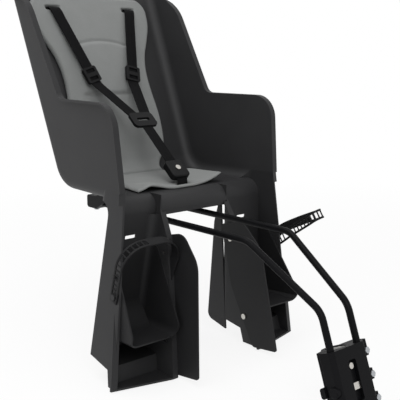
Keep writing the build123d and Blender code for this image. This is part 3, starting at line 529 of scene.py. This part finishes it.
def foam_pad():
    # One grid for the upper skin and one for the under skin, joined round the edge and in the slots.
    # Rows and columns crowd towards the edges, the rows less so.
    mesh = bpy.data.meshes.new("foam_pad")
    slot_back = BACK_LENGTH - (SLOT_Z - BACK_END.z) / BACK_UP.z
    slot_front = FLAP_START + SLOT_X - ARC_MIDDLE.x
    columns = PAD_COLUMNS + 1
    upper, under, open_at = [], [], []
    for i in range(PAD_ROWS + 1):
        u = i / PAD_ROWS
        u = PAD_EVEN_ROWS * u + (1 - PAD_EVEN_ROWS) * step(u, 0, 1)
        for j in range(columns):
            t = 2 * step(j / PAD_COLUMNS, 0, 1) - 1
            s = u * pad_end(t * pad_half(u * pad_end(0.0)))
            y = t * pad_half(s)
            rim = min(pad_half(s) - abs(y), s, pad_end(y) * (1 - u))
            full = math.sqrt(1 - (1 - min(max(rim, 0.0) / PAD_EDGE, 1.0)) ** 2)
            p, out = pad_path(s)
            lift = PAD_LIFT + flap_curl(s, y)
            thick = PAD_T + (FLAP_T - PAD_T) * step(p.x, *FLAP_THINS_X)
            seam = PAD_SEAM * thick
            dip = max(slot_dip(abs(y) - SLOT_Y, s - slot_back), slot_dip(y, s - slot_front))
            high = seam + full * (thick - seam + pad_relief(s, y))
            low = seam * (1 - full)
            upper.append(seat(p + out * (lift + high * (1 - dip) + SLOT_LIP * dip) + LEFT * y))
            under.append(seat(p + out * (lift + low) + LEFT * y))
            open_at.append(dip > SLOT_OPEN)
    shift = len(upper)
    faces, free_edges = [], {}
    for i in range(PAD_ROWS):
        for j in range(PAD_COLUMNS):
            a = i * columns + j
            ring = (a, a + 1, a + columns + 1, a + columns)
            if all(open_at[v] for v in ring):
                continue
            faces += [ring, tuple(v + shift for v in reversed(ring))]
            for v, w in zip(ring, ring[1:] + ring[:1]):
                if free_edges.pop((w, v), None) is None:
                    free_edges[(v, w)] = open_at[v] and open_at[w]
    faces += [(w, v, v + shift, w + shift) for (v, w), in_slot in free_edges.items() if in_slot]
    mesh.from_pydata(upper + under, [], faces)
    outward(mesh)
    seat_piece("foam_pad", mesh, "foam_pad", "seat_pad")


def smooth_route(points, gap):
    # Evenly spaced points on a curve through all the points, straight where three are in line.
    out = []
    for k in range(len(points) - 1):
        a, b = points[k], points[k + 1]
        before = points[max(k - 1, 0)]
        after = points[min(k + 2, len(points) - 1)]
        span = (b - a).length
        pull_a = (b - before).normalized() * span
        pull_b = (after - a).normalized() * span
        count = max(2, round(span / gap))
        out += [bend_between(a, b, pull_a, pull_b, n / count) for n in range(count)]
    return out + [points[-1]]


def strap_frames(route):
    # Run, place, and along, across and off directions at each point, with the width kept as level as
    # the route allows.
    frames = []
    run = 0.0
    for k, p in enumerate(route):
        run += (p - route[k - 1]).length if k else 0.0
        way = (route[min(k + 1, len(route) - 1)] - route[max(k - 1, 0)]).normalized()
        wide = (LEFT - way * way.y).normalized()
        frames.append((run, p, way, wide, way.cross(wide)))
    return frames


def webbing(name, route, node):
    # Flat strap with rounded edges, and a UV map in millimetres for the weave.
    mesh = bpy.data.meshes.new(name)
    half, edge = WEB_W / 2, WEB_T / 2
    face = [-half + WEB_EDGE, -half / 2, 0.0, half / 2, half - WEB_EDGE]
    section = [(-half, 0.0)] + [(u, edge) for u in face]
    section += [(half, 0.0)] + [(u, -edge) for u in reversed(face)]
    n = len(section)
    frames = strap_frames(route)
    points = [seat(p + wide * u + off * v) for run, p, way, wide, off in frames for u, v in section]
    faces, laid = [], []
    for k in range(len(frames) - 1):
        for m in range(n):
            q = (m + 1) % n
            faces.append((k * n + m, k * n + q, (k + 1) * n + q, (k + 1) * n + m))
            laid.append(((section[m][0], frames[k][0]), (section[q][0], frames[k][0]),
                         (section[q][0], frames[k + 1][0]), (section[m][0], frames[k + 1][0])))
    for k in (0, len(frames) - 1):
        faces.append(tuple(k * n + m for m in range(n)))
        laid.append(tuple((section[m][0], frames[k][0]) for m in range(n)))
    mesh.from_pydata(points, [], faces)
    layer = mesh.uv_layers.new(name="weave")
    for polygon, spots in zip(mesh.polygons, laid):
        for corner, spot in zip(polygon.loop_indices, spots):
            layer.data[corner].uv = spot
    outward(mesh, sharp=50)
    seat_piece(name, mesh, "webbing", node)
    return frames


def shoulder_route(side):
    # Out of the back slot, down to the bend at the adjuster, and on into the yoke.
    slot = Vector((BACK_FOOT_X + BACK_RUN * SLOT_Z, side * SLOT_Y, SLOT_Z))
    lead = slot + BACK_OUT * SLOT_STAND
    bend = Vector((BEND.x, side * BEND.y, BEND.z))
    end = YOKE + YOKE_UP * YOKE_IN + LEFT * (side * YOKE_STRAP_Y)
    fall = (bend - lead).normalized()
    draw = (end - bend).normalized()
    turn_out, turn_down = SLOT_TURN
    points = [slot - BACK_OUT * SLOT_TAIL, slot + BACK_OUT * SLOT_MOUTH]
    points += [slot + BACK_OUT * turn_out + fall * turn_down]
    points += [lead + fall * run for run in AFTER_SLOT]
    points += [bend - fall * run for run in BEFORE_BEND]
    points += [bend + draw * run for run in AFTER_BEND]
    points += [end - draw * BEFORE_YOKE, end]
    return smooth_route(points, ROUTE_GAP)


def crotch_route():
    # From the yoke to the knee over the flap's front, and down through the pan.
    top = YOKE - YOKE_UP * YOKE_IN
    knee = Vector((SLOT_X, 0.0, PAN_Z + PAD_T + KNEE_STAND))
    fall = (knee - top).normalized()
    points = [top, top + fall * AFTER_YOKE]
    points += [knee - fall * run for run in BEFORE_KNEE]
    points += [knee - UP * run for run in BELOW_KNEE]
    points += [Vector((SLOT_X, 0.0, PAN_Z - CROTCH_TAIL))]
    return smooth_route(points, ROUTE_GAP)


def repeat_tree(name, shape, material):
    # Sets one small shape on every point, turned by the points' own directions.
    tree = bpy.data.node_groups.new(name, "GeometryNodeTree")
    tree.interface.new_socket("Points", in_out="INPUT", socket_type="NodeSocketGeometry")
    for size in ("Length", "Width", "Height"):
        tree.interface.new_socket(size, in_out="INPUT", socket_type="NodeSocketFloat")
    tree.interface.new_socket("Geometry", in_out="OUTPUT", socket_type="NodeSocketGeometry")
    given = add(tree, "NodeGroupInput").outputs
    size = add(tree, "ShaderNodeCombineXYZ", {
        "X": given["Length"], "Y": given["Width"], "Z": given["Height"]})
    if shape == "stitch":
        bead = add(tree, "GeometryNodeMeshUVSphere", {"Segments": 8, "Rings": 5, "Radius": 0.5})
        lying = bead.outputs["Mesh"]
    else:
        bar = add(tree, "GeometryNodeMeshCylinder", {"Vertices": 12, "Radius": 0.5, "Depth": 1.0})
        lying = add(tree, "GeometryNodeTransform", {
            "Geometry": bar.outputs["Mesh"], "Rotation": (0.0, math.pi / 2, 0.0)}).outputs[0]
    sized = add(tree, "GeometryNodeTransform", {"Geometry": lying, "Scale": size.outputs[0]})
    way = add(tree, "GeometryNodeInputNamedAttribute", {"Name": "way"}, data_type="FLOAT_VECTOR")
    off = add(tree, "GeometryNodeInputNamedAttribute", {"Name": "off"}, data_type="FLOAT_VECTOR")
    turn = add(tree, "FunctionNodeAxesToRotation", {
        0: way.outputs[0], 1: off.outputs[0]}, primary_axis="X", secondary_axis="Z")
    spread = add(tree, "GeometryNodeInstanceOnPoints", {
        "Points": given["Points"], "Instance": sized.outputs[0], "Rotation": turn.outputs[0]})
    solid = add(tree, "GeometryNodeRealizeInstances", {0: spread.outputs[0]})
    done = add(tree, "GeometryNodeSetMaterial", {"Geometry": solid.outputs[0], "Material": material})
    add(tree, "NodeGroupOutput", {"Geometry": done.outputs[0]})
    return tree


def repeats(name, tree, spots, slot, sizes):
    # Runs the tree on spots of (place, way, off) and keeps the result as one plain mesh.
    cloud = bpy.data.meshes.new(name + "_spots")
    cloud.from_pydata([seat(p) for p, way, off in spots], [], [])
    for label, pick in (("way", 1), ("off", 2)):
        layer = cloud.attributes.new(label, "FLOAT_VECTOR", "POINT")
        layer.data.foreach_set("vector", [c for spot in spots for c in spot[pick]])
    holder = bpy.data.objects.new(name + "_spots", cloud)
    bpy.context.scene.collection.objects.link(holder)
    spread = holder.modifiers.new("spread", "NODES")
    spread.node_group = tree
    for item in tree.interface.items_tree:
        if item.name in sizes:
            spread[item.identifier] = sizes[item.name] * MM
    mesh = bpy.data.meshes.new_from_object(holder.evaluated_get(bpy.context.evaluated_depsgraph_get()))
    mesh.name = name
    bpy.data.objects.remove(holder)
    outward(mesh, sharp=60)
    seat_piece(name, mesh, slot)


def box_stitch(frames, start, long):
    # A sewn rectangle with a cross, as on webbing ends: stitch places on the strap's outer face, with
    # their directions.
    end, half = start + long, BOX_HALF
    corners = [(start, -half), (end, -half), (end, half), (start, half),
               (start, -half), (end, half), (start, half), (end, -half)]
    spots = []
    for (a, ua), (b, ub) in zip(corners, corners[1:]):
        reach = math.hypot(b - a, ub - ua)
        count = max(1, int(reach / STITCH_PITCH))
        for n in range(count):
            t = (n + 0.5) / count
            run, u = a + (b - a) * t, ua + (ub - ua) * t
            near, p, way, wide, off = min(frames, key=lambda row: abs(row[0] - run))
            place = p + way * (run - near) + wide * u - off * (WEB_T / 2 + STITCH_LIFT)
            spots.append((place, (way * (b - a) + wide * (ub - ua)).normalized(), -off))
    return spots


def rounded_route(corners, radius, gap):
    # Points on an outline in a strap's own plane, with round corners.
    out = [Vector(corners[0])]
    for before, corner, after in zip(corners, corners[1:], corners[2:]):
        corner = Vector(corner)
        a = (Vector(before) - corner).normalized()
        b = (Vector(after) - corner).normalized()
        half = a.angle(b) / 2
        cut = radius / math.tan(half)
        middle = corner + (a + b).normalized() * (radius / math.sin(half))
        start = corner + a * cut - middle
        end = corner + b * cut - middle
        sweep = math.atan2(start.x * end.y - start.y * end.x, start.dot(end))
        count = max(4, int(abs(sweep) * radius / gap))
        square = Vector((-start.y, start.x))
        for n in range(count + 1):
            t = sweep * n / count
            out.append(middle + start * math.cos(t) + square * math.sin(t))
    return out + [Vector(corners[-1])]


def strap_run(outline, foot, lean, side, drift):
    # Maps an outline in the strap's plane to frames along it.  drift moves the strap off that plane.
    a = math.radians(lean)
    rise = Vector((math.cos(a), 0.0, math.sin(a)))
    wide = Vector((-math.sin(a), 0.0, math.cos(a)))
    places = [foot + rise * v + LEFT * (side * u) for u, v in outline]
    runs = [0.0]
    for p, q in zip(places, places[1:]):
        runs.append(runs[-1] + (q - p).length)

    def at(run):
        run = min(max(run, 0.0), runs[-1])
        k = max(i for i in range(len(runs)) if runs[i] <= run + 1e-9)
        k = min(k, len(runs) - 2)
        p, q = places[k], places[k + 1]
        way = (q - p).normalized()
        return p + way * (run - runs[k]) + wide * along(drift, run), way, wide, way.cross(wide)
    return at, runs[-1]


def ladder_strap(name, node, at, length, open_runs, tree):
    # Moulded strap: two rails with round rungs where the tongue hooks in, plain band elsewhere.
    mesh = bpy.data.meshes.new(name)
    edges = [-FOOT_W / 2, -FOOT_W / 2 + RAIL_W, FOOT_W / 2 - RAIL_W, FOOT_W / 2]
    marks = {round(length * n / FOOT_CUTS, 4) for n in range(FOOT_CUTS + 1)}
    marks = sorted(marks | {run for pair in open_runs for run in pair})
    points, faces = [], []
    for run in marks:
        p, way, wide, off = at(run)
        points += [seat(p + wide * w) for w in edges]
    across = len(edges)
    for k in range(len(marks) - 1):
        middle = (marks[k] + marks[k + 1]) / 2
        for m in range(across - 1):
            between_rails = m == 1
            if between_rails and any(a < middle < b for a, b in open_runs):
                continue
            c = across * k + m
            faces.append((c, c + 1, c + across + 1, c + across))
    mesh.from_pydata(points, [], faces)
    outward(mesh, sharp=40)
    strap = seat_piece(name, mesh, "strap_rubber", node)
    wall = strap.modifiers.new("wall", "SOLIDIFY")
    wall.thickness = FOOT_T * MM
    wall.offset = 0.0
    soft = strap.modifiers.new("soft", "BEVEL")
    soft.width = FOOT_SOFT * MM
    soft.segments = 2
    soft.limit_method = "ANGLE"
    soft.angle_limit = math.radians(50)
    spots = []
    for a, b in open_runs:
        for n in range(1, int((b - a) / RUNG_PITCH)):
            p, way, wide, off = at(a + n * RUNG_PITCH)
            spots.append((p, wide, off))
    repeats(name + "_rungs", tree, spots, "strap_rubber", RUNG_SIZE)


foam_pad()
STITCH = repeat_tree("sewn_stitches", "stitch", THREAD)
RUNG = repeat_tree("ladder_rungs", "rung", FINISHES["strap_rubber"])
stitches = []
for name, side in (("left", 1), ("right", -1)):
    frames = webbing("shoulder_webbing_" + name, shoulder_route(side), "shoulder_strap_" + name)
    stitches += box_stitch(frames, frames[-1][0] - SHOULDER_BOX_FROM_END, SHOULDER_BOX_L)
frames = webbing("crotch_webbing", crotch_route(), "crotch_strap")
stitches += box_stitch(frames, CROTCH_BOX_FROM_END, CROTCH_BOX_L)
repeats("harness_stitches", STITCH, stitches, "webbing", STITCH_SIZE)

# Right foot strap: fastened over the channel, with a ladder at one end and a hole at the other
arch = rounded_route(ARCH_OUTLINE, ARCH_R, ARCH_GAP)
at, length = strap_run(arch, ARCH_FOOT, ARCH_LEAN, -1, NO_DRIFT)
hole = tuple(length - run for run in ARCH_HOLE_FROM_END)
ladder_strap("foot_strap_fastened", "foot_strap_right", at, length, [ARCH_LADDER, hole], RUNG)

# Left foot strap: loose, standing out as a flat loop whose inner band is the ladder
loop = rounded_route([
    (LOOP_INNER_Y, LOOP_START), (LOOP_INNER_Y, LOOP_TOP), (LOOP_OUTER_Y, LOOP_TOP),
    (LOOP_OUTER_Y, LOOP_LOW), (LOOP_INNER_Y, LOOP_LOW), (LOOP_INNER_Y, LOOP_START)], LOOP_R, LOOP_GAP)
at, length = strap_run(loop, LOOP_FOOT, LOOP_LEAN, 1, LOOP_DRIFT)
rest = (length - LOOP_LADDER_AT_END, length)
ladder_strap("foot_strap_loose", "foot_strap_left", at, length, [LOOP_LADDER, rest], RUNG)


def seen_ray(tree):
    # 1 where the camera sees the surface itself, or in a gloss or through a clear piece, and else 0.
    path = add(tree, "ShaderNodeLightPath").outputs
    seen = path["Is Camera Ray"]
    for kind in ("Is Glossy Ray", "Is Transmission Ray"):
        seen = add(tree, "ShaderNodeMath", {0: seen, 1: path[kind]}, operation="MAXIMUM").outputs[0]
    return seen


def stage_floor(low):
    # White paper: seen, most of it is plain white, and the rest takes the shadow.
    corners = [(-FLOOR_HALF, -FLOOR_HALF), (FLOOR_HALF, -FLOOR_HALF),
               (FLOOR_HALF, FLOOR_HALF), (-FLOOR_HALF, FLOOR_HALF)]
    mesh = bpy.data.meshes.new("floor")
    mesh.from_pydata([(x, y, low) for x, y in corners], [], [(0, 1, 2, 3)])
    floor = bpy.data.objects.new("floor", mesh)
    bpy.context.scene.collection.objects.link(floor)
    material, tree = finish_named("pale_floor")
    where = add(tree, "ShaderNodeTexCoord").outputs["Object"]
    mottle = add(tree, "ShaderNodeTexNoise", {"Vector": where, "Scale": FLOOR_MOTTLES_PER_M})
    tint = add(tree, "ShaderNodeMix", {
        MIX_SHARE: mottle.outputs["Fac"], MIX_A: linear("#f6f6f6"), MIX_B: linear("#fcfcfc")},
        data_type="RGBA")
    paint = add(tree, "ShaderNodeBsdfDiffuse", {"Color": tint.outputs[MIX_RESULT]})
    paper = add(tree, "ShaderNodeEmission", {"Color": WHITE})
    far = add(tree, "ShaderNodeVectorMath", {0: where}, operation="LENGTH")
    white = add(tree, "ShaderNodeMapRange", {
        "Value": far.outputs["Value"], "From Min": FLOOR_FADE[0], "From Max": FLOOR_FADE[1],
        "To Min": FLOOR_WHITE, "To Max": 1.0})
    share = add(tree, "ShaderNodeMath", {0: seen_ray(tree), 1: white.outputs[0]}, operation="MULTIPLY")
    skin = add(tree, "ShaderNodeMixShader", {0: share.outputs[0], 1: paint.outputs[0], 2: paper.outputs[0]})
    add(tree, "ShaderNodeOutputMaterial", {"Surface": skin.outputs[0]})
    mesh.materials.append(material)


def studio_world():
    # Plain white where it is seen, and a softer light on the seat.
    world = bpy.data.worlds.new("studio")
    bpy.context.scene.world = world
    world.use_nodes = True
    tree = world.node_tree
    tree.nodes.clear()
    strength = add(tree, "ShaderNodeMapRange", {
        "Value": seen_ray(tree), "To Min": WORLD_LIGHT, "To Max": 1.0})
    glow = add(tree, "ShaderNodeBackground", {"Color": WHITE, "Strength": strength.outputs[0]})
    add(tree, "ShaderNodeOutputWorld", {"Surface": glow.outputs[0]})


def lamp(name, place, aim, size, watts):
    data = bpy.data.lights.new(name, "AREA")
    data.shape = "DISK"
    data.size = size
    data.energy = watts
    light = bpy.data.objects.new(name, data)
    bpy.context.scene.collection.objects.link(light)
    light.location = place
    light.rotation_euler = (Vector(aim) - Vector(place)).to_track_quat("-Z", "Y").to_euler()


def photo_camera():
    data = bpy.data.cameras.new("camera")
    data.sensor_width = SENSOR_W
    data.lens = LENS
    camera = bpy.data.objects.new("camera", data)
    bpy.context.scene.collection.objects.link(camera)
    camera.location = EYE
    camera.rotation_euler = [math.radians(a) for a in EYE_TURN]
    bpy.context.scene.camera = camera


stage_floor(CAD_BOX[0].z - FLOOR_GAP)
studio_world()
for name, setting in LAMPS.items():
    lamp(name, *setting)
photo_camera()
bpy.context.scene.view_settings.view_transform = "Standard"
